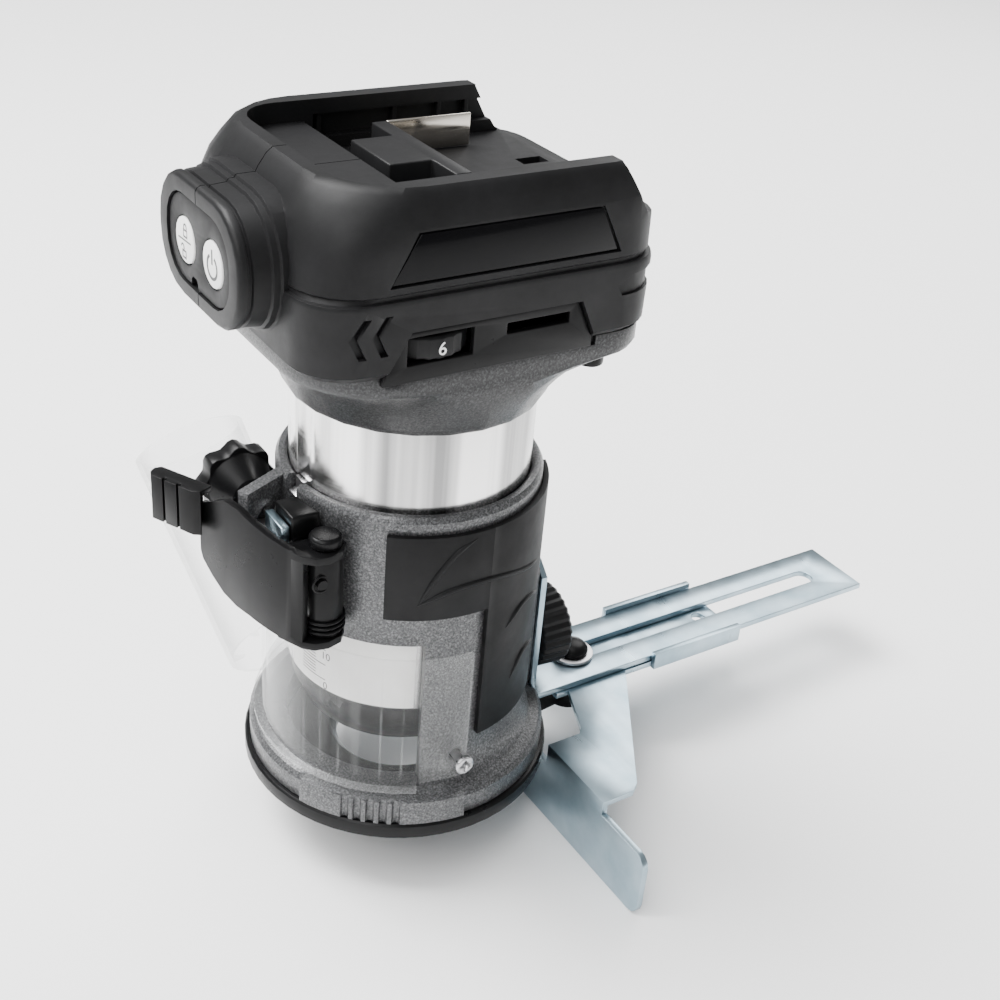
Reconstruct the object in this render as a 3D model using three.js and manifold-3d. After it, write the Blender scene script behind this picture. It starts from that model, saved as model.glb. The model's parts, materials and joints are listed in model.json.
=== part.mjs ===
// Compact trim router with an adjustable base and a straight edge guide.
// Millimetres, +Z up. Everything is laid out about the cutter axis, with z = 0 at the underside
// of the sole plate; the finished group is then moved so that its origin is the centre of the
// bottom of its bounding box. +X runs along the guide arm, -Y is the side with the speed dial.
import * as THREE from 'three';
import { mergeVertices } from 'three/addons/utils/BufferGeometryUtils.js';
import Module from 'manifold-3d';

const wasm = await Module();
wasm.setup();

// ---------- driving dimensions ----------
const GAP = 0.3;
const ROUND = 56;
const MEDIUM = 22;
const SMALL = 12;

const BARREL_R = 32.5;
const BARREL_WALL = 3;
const BARREL_BOTTOM = 36;
const BARREL_TOP = 142;

const SOLE_R = 45;
const SOLE_T = 5.2;
const SOLE_HOLE_R = 18;
const SLEEVE_R = 36;
const SLEEVE_TOP = 99;
const BORE_R = BARREL_R + GAP;
const RING_R = 43.5;
const RING_TOP = 13;
const WINDOW_HALF_ANGLE = 70;
const WINDOW_LOW = 14.2;
const WINDOW_HIGH = 60;
const GUIDE_PAD_X = 39.2;
const DEFLECTOR_SCREW = [-2.2, 21];

const PINION_X = -39.5;
const PINION_Z = 86;
const RACK_Y = -1.4;
const RACK_HALF = 2.2;
const MODULE_MM = 1.1;
const PINION_TEETH = 9;
const PINION_PITCH_R = (MODULE_MM * PINION_TEETH) / 2;

const PIVOT = [-36, -21.6];
const LEVER_LOW = 63.4;
const LEVER_HIGH = 91.2;
const PIN_HEAD_LOW = LEVER_HIGH + GAP;
const BOLT_X = -42.2;
const BOLT_Z = 74;

const ARM_Z = 6.7;
const ARM_T = 2;
const ARM_HALF = 12.5;
const ARM_END = 181;
const TAB_TOP = 57;
const STUD_Z = 26;
const FENCE_BOLT_X = 64;
const GUIDE_PLATE_T = 1.9;
const FENCE_X = 34.2;
const FENCE_HALF_LENGTH = 80;
const FENCE_BOTTOM = -20;

const CAST_BOTTOM = 121.5;
const HEAD_BOTTOM = 144;
const SEAM_Z = 163;
const HEAD_TOP = 186;
const SLOT_FLOOR = 173;
const SLOT_HALF = 30.7;
const UNDERCUT_HALF = 33.3;
const SLOT_LEFT = -36.6;
const SPLIT = GAP / 2;
const BUTTON_R = 5.5;
const BUTTON_Y = 8;
const BUTTON_Z = 163.4;
const BUTTON_FACE = -58.4;
const POD_Z = 164;
const POD_HALF = 23.4;
const POD_HIGH = 14.9;
const POD_CORNER_R = 13.6;
const PAD_HALF = 17.8;
const PAD_HIGH = 10.4;
const PAD_CORNER_R = 9.2;
const DIAL = [-16.5, -28];
const CAST_SCREW_SPOTS = [[34, -29], [34, 29]];
const HEAD_SCREW_SPOTS = [[-41.5, 152], [41.5, 152], [41, 167]];

// ---------- shape helpers ----------
function solid(geometry) {
  const bare = geometry.clone();
  bare.deleteAttribute('normal');
  bare.deleteAttribute('uv');
  const merged = mergeVertices(bare, 1e-4);
  return new wasm.Manifold(new wasm.Mesh({
    numProp: 3,
    vertProperties: new Float32Array(merged.attributes.position.array),
    triVerts: new Uint32Array(merged.index.array),
  }));
}

function join(first, ...others) {
  return others.reduce((whole, piece) => whole.add(piece), first);
}

function cut(first, ...others) {
  return others.reduce((whole, piece) => whole.subtract(piece), first);
}

function box(x0, x1, y0, y1, z0, z1) {
  const geometry = new THREE.BoxGeometry(x1 - x0, y1 - y0, z1 - z0);
  return solid(geometry.translate((x0 + x1) / 2, (y0 + y1) / 2, (z0 + z1) / 2));
}

// A rod of one radius, or a cone between two, along X, Y or Z.
function rod(axis, radius, from, to, a, b, sides = MEDIUM, endRadius = radius) {
  const geometry = new THREE.CylinderGeometry(endRadius, radius, to - from, sides);
  const middle = (from + to) / 2;
  if (axis === 'x') geometry.rotateZ(-Math.PI / 2).translate(middle, a, b);
  if (axis === 'y') geometry.translate(a, middle, b);
  if (axis === 'z') geometry.rotateX(Math.PI / 2).translate(a, b, middle);
  return solid(geometry);
}

// A body turned about Z from [radius, z] points, closed on itself or on the axis.
function turned(profile, sides = ROUND) {
  const points = profile.map(([r, z]) => new THREE.Vector2(r, z));
  const closed = profile[0][0] > 0;
  if (closed) points.push(points[0].clone());
  const geometry = new THREE.LatheGeometry(points, sides).rotateX(Math.PI / 2);
  const made = solid(geometry);
  return made.volume() < 0 ? solid(flipped(geometry)) : made;
}

function flipped(geometry) {
  const index = geometry.index.array;
  for (let i = 0; i < index.length; i += 3) {
    [index[i + 1], index[i + 2]] = [index[i + 2], index[i + 1]];
  }
  return geometry;
}

function tube(outer, inner, low, high, sides = ROUND) {
  return turned([[inner, low], [outer, low], [outer, high], [inner, high]], sides);
}

// A plan outline of [x, y] points raised from one height to another.
function prism(points, low, high) {
  const shape = new THREE.Shape(points.map(([x, y]) => new THREE.Vector2(x, y)));
  const geometry = new THREE.ExtrudeGeometry(shape, { depth: high - low, bevelEnabled: false });
  return solid(geometry.translate(0, 0, low));
}

// The same for an outline of [x, z] points, run along Y.
function prismY(points, low, high) {
  const shape = new THREE.Shape(points.map(([x, z]) => new THREE.Vector2(x, z)));
  const geometry = new THREE.ExtrudeGeometry(shape, { depth: high - low, bevelEnabled: false });
  return solid(geometry.rotateX(Math.PI / 2).translate(0, high, 0));
}

function polar(radius, degrees) {
  const a = THREE.MathUtils.degToRad(degrees);
  return [radius * Math.cos(a), radius * Math.sin(a)];
}

// Part of a ring between two azimuths.
function sector(inner, outer, from, to, low, high, steps = 16) {
  const points = [];
  for (let i = 0; i <= steps; i++) points.push(polar(outer, from + ((to - from) * i) / steps));
  for (let i = steps; i >= 0; i--) points.push(polar(inner, from + ((to - from) * i) / steps));
  return prism(points, low, high);
}

// Counter-clockwise rounded rectangle, with one radius at each end; 4 * (steps + 1) points.
function roundedOutline(x0, x1, half, startRadius, endRadius, steps = 6, centre = 0) {
  const corners = [
    [x1 - endRadius, centre - half + endRadius, endRadius, -90],
    [x1 - endRadius, centre + half - endRadius, endRadius, 0],
    [x0 + startRadius, centre + half - startRadius, startRadius, 90],
    [x0 + startRadius, centre - half + startRadius, startRadius, 180],
  ];
  return corners.flatMap(([cx, cy, r, start]) => Array.from({ length: steps + 1 }, (_, i) => {
    const [dx, dy] = polar(r, start + (90 * i) / steps);
    return [cx + dx, cy + dy];
  }));
}

function circleOutline(radius, steps = 6) {
  return roundedOutline(-radius, radius, radius, radius - 0.01, radius - 0.01, steps);
}

function blended(a, b, t) {
  return a.map(([x, y], i) => [x + (b[i][0] - x) * t, y + (b[i][1] - y) * t]);
}

// A skin through rings of equal point count, closed with a fan at each end.
function loft(rings) {
  const count = rings[0].length;
  const positions = rings.flat(2);
  const index = [];
  for (let r = 0; r + 1 < rings.length; r++) {
    for (let i = 0; i < count; i++) {
      const a = r * count + i;
      const b = r * count + ((i + 1) % count);
      index.push(a, b, b + count, a, b + count, a + count);
    }
  }
  for (const [ring, lastRing] of [[0, false], [rings.length - 1, true]]) {
    const centre = positions.length / 3;
    for (let k = 0; k < 3; k++) {
      positions.push(rings[ring].reduce((sum, p) => sum + p[k], 0) / count);
    }
    for (let i = 0; i < count; i++) {
      const a = ring * count + i;
      const b = ring * count + ((i + 1) % count);
      if (lastRing) index.push(centre, a, b);
      else index.push(centre, b, a);
    }
  }
  const geometry = new THREE.BufferGeometry();
  geometry.setAttribute('position', new THREE.Float32BufferAttribute(positions, 3));
  geometry.setIndex(index);
  return solid(geometry);
}

const atHeight = (outline, z) => outline.map(([x, y]) => [x, y, z]);
const atLength = (outline, x) => outline.map(([y, z]) => [x, y, z]);

// An outline of [y, z] points run along X.
function prismX(points, from, to) {
  return loft([atLength(points, from), atLength(points, to)]);
}

// A lobed disc outline: the radius swings between two values once a lobe.
function lobedOutline(outer, inner, lobes, perLobe, cx = 0, cy = 0) {
  return Array.from({ length: lobes * perLobe }, (_, i) => {
    const swing = (1 + Math.cos((2 * Math.PI * i) / perLobe)) / 2;
    const [x, y] = polar(inner + (outer - inner) * swing, (360 * i) / (lobes * perLobe));
    return [cx + x, cy + y];
  });
}

function hexOutline(flats, cx = 0, cy = 0) {
  return Array.from({ length: 6 }, (_, i) => {
    const [x, y] = polar(flats / Math.sqrt(3), 60 * i);
    return [cx + x, cy + y];
  });
}

// ---------- scene graph ----------
const router = new THREE.Group();

function finish(colour, roughness, metalness, opacity = 1) {
  return new THREE.MeshStandardMaterial({
    color: colour, roughness, metalness, opacity, transparent: opacity < 1,
  });
}

const HAMMERED_GREY = finish(0x6e7073, 0.5, 0.6);
const BLACK_PLASTIC = finish(0x1d1d1f, 0.55, 0);
const BLACK_RUBBER = finish(0x1a1a1b, 0.8, 0);
const BLACK_STEEL = finish(0x1b1b1c, 0.4, 0.5);
const BRIGHT_ALUMINIUM = finish(0xc9cbcd, 0.3, 1);
const ZINC_STEEL = finish(0xb4c4cc, 0.3, 1);
const STEEL = finish(0xb8bbbe, 0.35, 1);
const CLEAR = finish(0xe9edef, 0.1, 0, 0.35);
const WHITE_PLASTIC = finish(0xf1f1f0, 0.4, 0);
const GREEN_BOARD = finish(0x1f5a35, 0.6, 0);
const COPPER = finish(0xb36a3c, 0.4, 0.8);
const GLOSS_BLACK = finish(0x101012, 0.15, 0);

function add(name, shape, material) {
  const mesh = shape.getMesh();
  const count = mesh.numVert;
  const positions = new Float32Array(count * 3);
  for (let i = 0; i < count; i++) {
    positions.set(mesh.vertProperties.subarray(i * mesh.numProp, i * mesh.numProp + 3), i * 3);
  }
  const geometry = new THREE.BufferGeometry();
  geometry.setAttribute('position', new THREE.BufferAttribute(positions, 3));
  geometry.setIndex(new THREE.BufferAttribute(new Uint32Array(mesh.triVerts), 1));
  geometry.computeVertexNormals();
  const made = new THREE.Mesh(geometry, material);
  made.name = name;
  router.add(made);
}

// ---------- adjustable base ----------
const SOLE_SCREW_R = 38;
const SOLE_SCREW_AZIMUTHS = [60, 150, 285];

function soleScrew(azimuth, slack) {
  const [x, y] = polar(SOLE_SCREW_R, azimuth);
  const head = rod('z', 3.6 + slack, 0.6, 3.2, x, y, SMALL, 1.8 + slack);
  const shank = rod('z', 1.8 + slack, 2, slack ? 12 : 11, x, y, SMALL);
  return slack ? join(head, shank, rod('z', 3.6 + slack, -1, 0.7, x, y, SMALL)) : join(head, shank);
}

function solePlate() {
  const disc = turned([
    [SOLE_HOLE_R, 0], [SOLE_R - 0.8, 0], [SOLE_R, 0.8], [SOLE_R, SOLE_T - 0.6], [SOLE_R - 0.6, SOLE_T],
    [SOLE_HOLE_R + 2, SOLE_T], [SOLE_HOLE_R, SOLE_T - 2],
  ]);
  return cut(disc, ...SOLE_SCREW_AZIMUTHS.map((azimuth) => soleScrew(azimuth, GAP)));
}

function baseCasting() {
  const ringLow = SOLE_T + GAP;
  const sleeve = turned([
    [BORE_R, ringLow], [RING_R, ringLow], [RING_R, RING_TOP - 1.5], [RING_R - 1.2, RING_TOP],
    [39.2, RING_TOP + 1], [36.8, 18], [SLEEVE_R, 24], [SLEEVE_R, SLEEVE_TOP - 1.5],
    [SLEEVE_R - 0.9, SLEEVE_TOP], [BORE_R + 0.8, SLEEVE_TOP], [BORE_R, SLEEVE_TOP - 0.8],
  ]);
  const thumbBlock = sector(40, 44.7, -156, -94, ringLow, RING_TOP + 0.2, 14);
  const thumbGrooves = Array.from({ length: 5 }, (_, i) => {
    const [x, y] = polar(44.9, -137.6 + i * 4.6);
    return rod('z', 1.25, ringLow - 1, RING_TOP + 1, x, y, 10);
  });
  const guidePad = box(30, GUIDE_PAD_X, -11.5, 11.5, ringLow, TAB_TOP - 1);
  const window = sector(28, 50, 180 - WINDOW_HALF_ANGLE, 180 + WINDOW_HALF_ANGLE,
    WINDOW_LOW, WINDOW_HIGH, 10);
  const split = box(-42, -28, RACK_Y - 3, RACK_Y + 3, WINDOW_HIGH - 1, SLEEVE_TOP + 1);
  const forkWall = prism([[-33.6, 4.6], [-48.2, -2.3], [-49.5, 0.7], [-34, 8.3]].reverse(), 70, 98);
  const nearLug = box(-46, -33, -14, -5, 66, 89.6);
  const armNotch = box(GUIDE_PAD_X, 60, -ARM_HALF - 0.8, ARM_HALF + 0.8, 3, RING_TOP + 3);
  const body = join(
    cut(join(sleeve, cut(thumbBlock, ...thumbGrooves)), window, split),
    guidePad, forkWall, nearLug,
  );
  return cut(
    body,
    rod('z', BORE_R, 0, 140, 0, 0, ROUND),
    rod('y', 2.5 + GAP, -20, 20, PINION_X, PINION_Z, MEDIUM),
    rod('y', 2.5 + GAP, -20, 12, BOLT_X, BOLT_Z, MEDIUM),
    rod('y', 6.4, RACK_Y - 2.9, RACK_Y + 2.9, PINION_X, PINION_Z, MEDIUM),
    rod('x', 3 + GAP, 20, 60, 0, STUD_Z, MEDIUM),
    armNotch,
    ...deflectorScrewHoles(),
    ...SOLE_SCREW_AZIMUTHS.map((azimuth) => soleScrew(azimuth, GAP)),
  );
}

// Clearance holes for the screws that hold the deflector to the sleeve.
function deflectorScrewHoles() {
  return [-50, 30].map((low) => (
    rod('y', 1.5 + GAP, low, low + 20, DEFLECTOR_SCREW[0], DEFLECTOR_SCREW[1], SMALL)));
}

// Moulded grip: a short band behind and a long leg in front of the side, on either flank.
function sideGrip(side) {
  const inner = SLEEVE_R + GAP;
  const outer = SLEEVE_R + 1.8;
  const span = (from, to) => (side < 0 ? [from, to] : [-to, -from]);
  const band = sector(inner, outer, ...span(-128, -84), 69.5, 94.5, 14);
  const leg = sector(inner, outer, ...span(-84.2, -21), 27, 94.5, 16);
  return join(band, leg);
}

add('base_casting', baseCasting(), HAMMERED_GREY);
add('sole_plate', solePlate(), BLACK_PLASTIC);
SOLE_SCREW_AZIMUTHS.forEach((azimuth, i) => add(`sole_screw_${i + 1}`, soleScrew(azimuth, 0), STEEL));
add('front_grip', sideGrip(-1), BLACK_RUBBER);
add('rear_grip', sideGrip(1), BLACK_RUBBER);

// Clear chip deflector round the window, with its slanted hose spout.
const SPOUT_R = 16;
const SPOUT_FOOT = new THREE.Vector3(-25, 29, 24);
const SPOUT_MOUTH = new THREE.Vector3(-43, 50, 86);

function slantedRod(radius, start, end, sides) {
  const along = new THREE.Vector3().subVectors(end, start);
  const geometry = new THREE.CylinderGeometry(radius, radius, along.length(), sides);
  const up = new THREE.Vector3(0, 1, 0);
  const turn = new THREE.Quaternion().setFromUnitVectors(up, along.clone().normalize());
  const middle = new THREE.Vector3().addVectors(start, end).multiplyScalar(0.5);
  return solid(geometry.applyQuaternion(turn).translate(middle.x, middle.y, middle.z));
}

function chipDeflector() {
  const inner = 38.6;
  const outer = 39.8;
  const beyond = new THREE.Vector3().subVectors(SPOUT_MOUTH, SPOUT_FOOT).multiplyScalar(0.1).add(SPOUT_MOUTH);
  const shell = join(
    sector(inner, outer, 91, 269, 16, 57.5, 20),
    sector(inner, 42.4, 112, 248, 14.6, 16.2, 16),
  );
  const lowHalf = box(-90, 20, -40, 90, 16.2, 120);
  const spout = slantedRod(SPOUT_R, SPOUT_FOOT, SPOUT_MOUTH, 28).intersect(lowHalf);
  const bore = slantedRod(SPOUT_R - 1.3, SPOUT_FOOT, beyond, 28).intersect(box(-90, 20, -40, 90, 17.6, 120));
  const inside = rod('z', inner, 0, 110, 0, 0, ROUND);
  return cut(join(shell, spout), bore, inside, ...deflectorScrewHoles());
}

function deflectorScrew(side) {
  const [x, z] = DEFLECTOR_SCREW;
  const screw = join(rod('y', 2.9, 40.4, 42, 0, z, SMALL), rod('y', 1.5, 33.4, 41, 0, z, SMALL));
  return screw.rotate([0, 0, side < 0 ? 180 : 0]).translate([x, 0, 0]);
}

// ---------- clamp on the split of the sleeve ----------
const [PX, PY] = PIVOT;
const LEVER_SHEET = 2;

function clampLever() {
  const path = new THREE.CatmullRomCurve3([
    [-43.5, -24.6], [-45.2, -21], [-48.4, -15], [-51, -8.5], [-53.6, 0.5], [-56.6, 9],
  ].map(([x, y]) => new THREE.Vector3(x, y, 0)));
  const outerSide = path.getPoints(16).map((p) => [p.x, p.y]);
  const innerSide = outerSide.map(([x, y], i) => {
    const before = outerSide[Math.max(i - 1, 0)];
    const after = outerSide[Math.min(i + 1, outerSide.length - 1)];
    const dx = after[0] - before[0];
    const dy = after[1] - before[1];
    const length = Math.hypot(dx, dy);
    return [x + (dy / length) * LEVER_SHEET, y - (dx / length) * LEVER_SHEET];
  }).reverse();
  const wall = prism([...outerSide, ...innerSide], LEVER_LOW, LEVER_HIGH + 6);
  // Seen from the side the wall is deep at the pivot, humped in the middle and narrow at the finger end.
  const sideView = [
    [-30, LEVER_LOW], [-20.7, LEVER_LOW], [-14.6, 64.7], [-8.4, 65.9], [-3.7, 66.2], [1.1, 67.8], [5.2, 71.4],
    [8.2, 75], [9.5, 79], [12, 82], [12, 91], [8.1, 92.1], [4, 94.5], [0.3, 96.3], [-4.3, 96], [-7.8, 95],
    [-13.8, 93.2], [-19.8, 91.6], [-23, LEVER_HIGH], [-30, LEVER_HIGH],
  ];
  const earPlan = [
    [-43.5, -24.6], [-41, -26.8], [-37.5, -27.5], [-33.4, -26.4], [-30.9, -23.2], [-31.2, -19.6],
    [-33.4, -17.3], [-46.9, -17.3], [-45.2, -21],
  ];
  const ears = [LEVER_LOW, LEVER_HIGH - LEVER_SHEET].map((low) => prism(earPlan, low, low + LEVER_SHEET));
  const fold = wall.intersect(prismX(sideView, -70, -30));
  return cut(join(fold, ...ears), rod('z', 2.5 + GAP, 50, 100, PX, PY, MEDIUM));
}

function fingerPad() {
  const plan = [
    [-53.8, 7.4], [-61.4, 21.6], [-63.4, 21.9], [-65, 20.6], [-65.6, 18.8], [-59.4, 6.6], [-57.6, 5.6],
  ];
  const ribs = [[-63.2, 15.4], [-61.1, 11.2]].map(([x, y]) => rod('z', 0.7, 83, 98, x, y, 8));
  return cut(prism(plan.reverse(), 84, 97), leverEndPocket(), ...ribs);
}

// Pocket in the finger pad for the end of the lever.
function leverEndPocket() {
  return prism([[-50.6, 0], [-53.6, 9.8], [-58, 9.8], [-56.4, 0]].reverse(), 80, 95.4);
}

function pivotPin() {
  const low = LEVER_LOW - 2.9;
  const capTop = PIN_HEAD_LOW + 3;
  const pin = turned([
    [0, low], [2.1, low], [2.5, low + 0.6], [2.5, PIN_HEAD_LOW], [4.2, PIN_HEAD_LOW], [4.2, capTop - 0.7],
    [3.5, capTop], [0, capTop],
  ], MEDIUM);
  return pin.translate([PX, PY, 0]);
}

// Steel barrel between the ears of the lever.
function pivotBarrel() {
  const low = LEVER_LOW + LEVER_SHEET + GAP;
  const high = LEVER_HIGH - LEVER_SHEET - GAP;
  return tube(4.8, 2.5 + GAP, low, high, MEDIUM).translate([PX, PY, 0]);
}

function hexAlongY(flats, from, to, x, z) {
  return prismY(hexOutline(flats, x, z), from, to);
}

function clampBolt() {
  const hex = hexAlongY(5.2, -16.2, -14.3, BOLT_X, BOLT_Z);
  return join(hex, rod('y', 2.5, -15, 12, BOLT_X, BOLT_Z, MEDIUM));
}

function clampNut() {
  const hex = hexAlongY(8, 6.8, 10.8, BOLT_X, BOLT_Z);
  return cut(hex, rod('y', 2.5 + GAP, 0, 20, BOLT_X, BOLT_Z, MEDIUM));
}

// Spur pinion on a cross shaft; a tooth of the pinion stands in a gap of the rack at rest.
function pinionShaft() {
  const tip = PINION_PITCH_R + 0.8;
  const outline = [[2.6, -0.95], [tip, -0.35], [tip, 0.35], [2.6, 0.95]];
  const tooth = prismY(outline, RACK_Y - RACK_HALF, RACK_Y + RACK_HALF);
  const teeth = Array.from({ length: PINION_TEETH }, (_, i) => (
    tooth.rotate([0, (360 * i) / PINION_TEETH, 0]).translate([PINION_X, 0, PINION_Z])));
  return join(rod('y', 2.5, -12, 25.6, PINION_X, PINION_Z, MEDIUM),
    rod('y', 3, RACK_Y - RACK_HALF, RACK_Y + RACK_HALF, PINION_X, PINION_Z, MEDIUM), ...teeth);
}

function heightKnob() {
  const lobes = prismY(lobedOutline(11.1, 9.4, 8, 6, PINION_X, PINION_Z), 22.4, 27.8);
  const nose = rod('y', 8.6, 27.6, 29.2, PINION_X, PINION_Z, MEDIUM, 7.4);
  const collar = rod('y', 5.4, 14.6, 22.6, PINION_X, PINION_Z, MEDIUM, 9.2);
  return cut(join(lobes, nose, collar), rod('y', 2.5 + GAP, 10, 26, PINION_X, PINION_Z, MEDIUM));
}

add('chip_deflector', chipDeflector(), CLEAR);
add('deflector_screw_front', deflectorScrew(-1), STEEL);
add('deflector_screw_rear', deflectorScrew(1), STEEL);
add('clamp_lever', clampLever(), BLACK_STEEL);
add('finger_pad', fingerPad(), BLACK_PLASTIC);
add('lever_pivot_pin', pivotPin(), BLACK_STEEL);
add('pivot_barrel', pivotBarrel(), BLACK_STEEL);
add('clamp_bolt', clampBolt(), STEEL);
add('clamp_nut', clampNut(), ZINC_STEEL);
const LUG_BLOCK = [[-42.3, -15.6], [-34.4, -15.6], [-36.5, -5.8], [-42.3, -5.8]];
add('lug_block', prism(LUG_BLOCK, 89.9, 97), BLACK_PLASTIC);
add('lug_plate', box(-45, -42.7, -15.4, -5.6, 89.9, 94.6), ZINC_STEEL);
add('height_pinion', pinionShaft(), STEEL);
add('height_knob', heightKnob(), BLACK_PLASTIC);

// ---------- straight guide ----------
function guideArm() {
  const blade = box(GUIDE_PAD_X + GAP, ARM_END, -ARM_HALF, ARM_HALF, ARM_Z, ARM_Z + ARM_T);
  const tab = box(GUIDE_PAD_X + GAP, GUIDE_PAD_X + GAP + 2, -ARM_HALF, ARM_HALF, ARM_Z, TAB_TOP);
  const slotPlan = roundedOutline(60, 168, 3.5, 3.4, 3.4, 4);
  const topCorners = [-1, 1].map((side) => tabCorner(side));
  const studHole = rod('x', 3 + GAP, 30, 50, 0, STUD_Z, MEDIUM);
  return cut(join(blade, tab), prism(slotPlan, 0, 20), studHole, ...topCorners);
}

// Cuts the tab's upper corners off at 45 degrees.
function tabCorner(side) {
  const size = 3;
  const wedge = new THREE.BoxGeometry(10, size * 2, size * 2).rotateX(Math.PI / 4);
  return solid(wedge.translate(GUIDE_PAD_X + 1.5, side * ARM_HALF, TAB_TOP));
}

function guideClampKnob() {
  const rim = lobedOutline(13.4, 12.6, 30, 2);
  const x0 = 43.2;
  const rings = [
    [x0, 0.82], [x0 + 0.6, 0.96], [x0 + 9.4, 1], [x0 + 10.8, 0.9],
  ].map(([x, scale]) => atLength(rim.map(([y, z]) => [y * scale, z * scale + STUD_Z]), x));
  return cut(loft(rings), rod('x', 3 + GAP, 40, x0 + 5, 0, STUD_Z, MEDIUM));
}

const PLATE_TOP = ARM_Z - GAP;
const PLATE_LOW = PLATE_TOP - GUIDE_PLATE_T;
const FENCE_OUT = FENCE_X + GUIDE_PLATE_T;

function edgeFence() {
  const channel = box(50, 124, -12.9, 12.9, PLATE_LOW, PLATE_TOP);
  const flanges = [-1, 1].map((side) => (side < 0
    ? box(87, 123, -14.7, -12.8, PLATE_LOW, 10.4)
    : box(87, 123, 12.8, 14.7, PLATE_LOW, 10.4)));
  const neckPlan = (side) => {
    const points = [
      [54, -10], [54.6, -12.4], [47.5, -29.5], [45.6, -31.5], [FENCE_X, -31.5], [FENCE_X, -59.5],
      [45, -59.5], [48, -57.2], [77, -12.4], [77, -10],
    ];
    return (side < 0 ? points : points.map(([x, y]) => [x, -y]).reverse());
  };
  const necks = [-1, 1].map((side) => prism(neckPlan(side), PLATE_LOW, PLATE_TOP));
  const wallTop = 1.6;
  const wallHalf = (wallTop - FENCE_BOTTOM) / 2;
  const wall = prismX(roundedOutline(-FENCE_HALF_LENGTH, FENCE_HALF_LENGTH, wallHalf, 4, 4, 3,
    wallTop - wallHalf), FENCE_X, FENCE_OUT);
  const hangers = [-1, 1].map((side) => (side < 0
    ? box(FENCE_X, FENCE_OUT, -59.5, -31.5, 0, PLATE_TOP)
    : box(FENCE_X, FENCE_OUT, 31.5, 59.5, 0, PLATE_TOP)));
  const underSole = box(FENCE_X - 5, FENCE_OUT + 5, -31.4, 31.4, -0.7, 5);
  return cut(join(channel, ...flanges, ...necks, cut(wall, underSole), ...hangers),
    rod('z', 3 + GAP, 0, 12, FENCE_BOLT_X, 0, MEDIUM), rod('z', 2.4, 0, 12, 117, 0, SMALL));
}

function fenceBolt() {
  const head = turned([[0, 10.3], [5.2, 10.3], [5.2, 11.4], [4.2, 12.7], [2.4, 13.3], [0, 13.4]], MEDIUM);
  const shank = rod('z', 3, -8, 10.6, 0, 0, MEDIUM);
  return join(head, shank).translate([FENCE_BOLT_X, 0, 0]);
}

function fenceWingNut() {
  const wing = [[0, -7.6], [11, -9.2], [17, -9], [19, -7], [19, -3], [17.4, -1], [12, -0.8], [0, -3]];
  const wings = [1, -1].map((side) => {
    const outline = wing.map(([x, z]) => [x * side, z]);
    return prismY(side > 0 ? outline : outline.reverse(), -2.2, 2.2);
  });
  const hub = rod('z', 7, -7.8, PLATE_LOW - GAP, 0, 0, MEDIUM, 6.2);
  return cut(join(hub, ...wings), rod('z', 3 + GAP, -9, 10, 0, 0, MEDIUM)).translate([FENCE_BOLT_X, 0, 0]);
}

add('guide_arm', guideArm(), ZINC_STEEL);
add('guide_clamp_knob', guideClampKnob(), BLACK_PLASTIC);
add('guide_clamp_stud', rod('x', 3, 34, 47.6, 0, STUD_Z, MEDIUM), STEEL);
add('edge_fence', edgeFence(), ZINC_STEEL);
add('fence_bolt', fenceBolt(), BLACK_STEEL);
add('fence_washer', tube(7, 3 + GAP, ARM_Z + ARM_T + GAP, 10, MEDIUM).translate([FENCE_BOLT_X, 0, 0]), STEEL);
add('fence_wing_nut', fenceWingNut(), BLACK_PLASTIC);

// ---------- motor unit ----------
function motorBarrel() {
  const shell = tube(BARREL_R, BARREL_R - BARREL_WALL, BARREL_BOTTOM, BARREL_TOP);
  const rackGroove = box(-40, -31.2, RACK_Y - RACK_HALF - 0.5, RACK_Y + RACK_HALF + 0.5, 59.4, 99);
  return cut(shell, rackGroove);
}

function depthRack() {
  const low = 60;
  const high = 98.7;
  const pitch = Math.PI * MODULE_MM;
  const pitchX = PINION_X + PINION_PITCH_R;
  const bar = box(pitchX + 1.1, -31.5, RACK_Y - RACK_HALF, RACK_Y + RACK_HALF, low, high);
  const teeth = [];
  for (let k = -9; k <= 7; k++) {
    const z = PINION_Z + (k + 0.5) * pitch;
    if (z < low + 1 || z > high - 1) continue;
    teeth.push(prismY([[pitchX + 1.3, z - 0.95], [pitchX - 0.8, z - 0.3], [pitchX - 0.8, z + 0.3],
      [pitchX + 1.3, z + 0.95]].reverse(), RACK_Y - RACK_HALF, RACK_Y + RACK_HALF));
  }
  return join(bar, ...teeth);
}

const CAST_PLAN = roundedOutline(-45.5, 46.6, 38.2, 22, 12);
const PANEL_LOW = 141.6;

function upperCasting() {
  const rings = [
    [CAST_BOTTOM, 33.9, 0], [123, 34.8, 0], [127, 36.4, 0], [131, 37.6, 0.12], [134.5, 38.5, 0.3],
    [136.5, 39, 0.62], [137.6, 39, 0.94], [139, 39, 1], [HEAD_BOTTOM - GAP, 39, 1],
  ].map(([z, radius, t]) => atHeight(blended(circleOutline(radius), CAST_PLAN, t), z));
  return cut(
    loft(rings),
    rod('z', BORE_R, 100, 150, 0, 0, ROUND),
    box(-32.6, 28, -60, -36.9, PANEL_LOW - GAP, 150),
    ...CAST_SCREW_SPOTS.map(([x, y]) => rod('z', 1.7 + GAP, 100, 150, x, y, SMALL)),
    ...CAST_SCREW_SPOTS.map(([x, y]) => rod('z', 3.6 + GAP, 100, 136.6, x, y, MEDIUM)),
  );
}

function castScrew([x, y]) {
  return join(rod('z', 3.6, 131.4, 136.3, x, y, MEDIUM), rod('z', 1.7, 136, 152, x, y, SMALL));
}

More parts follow.
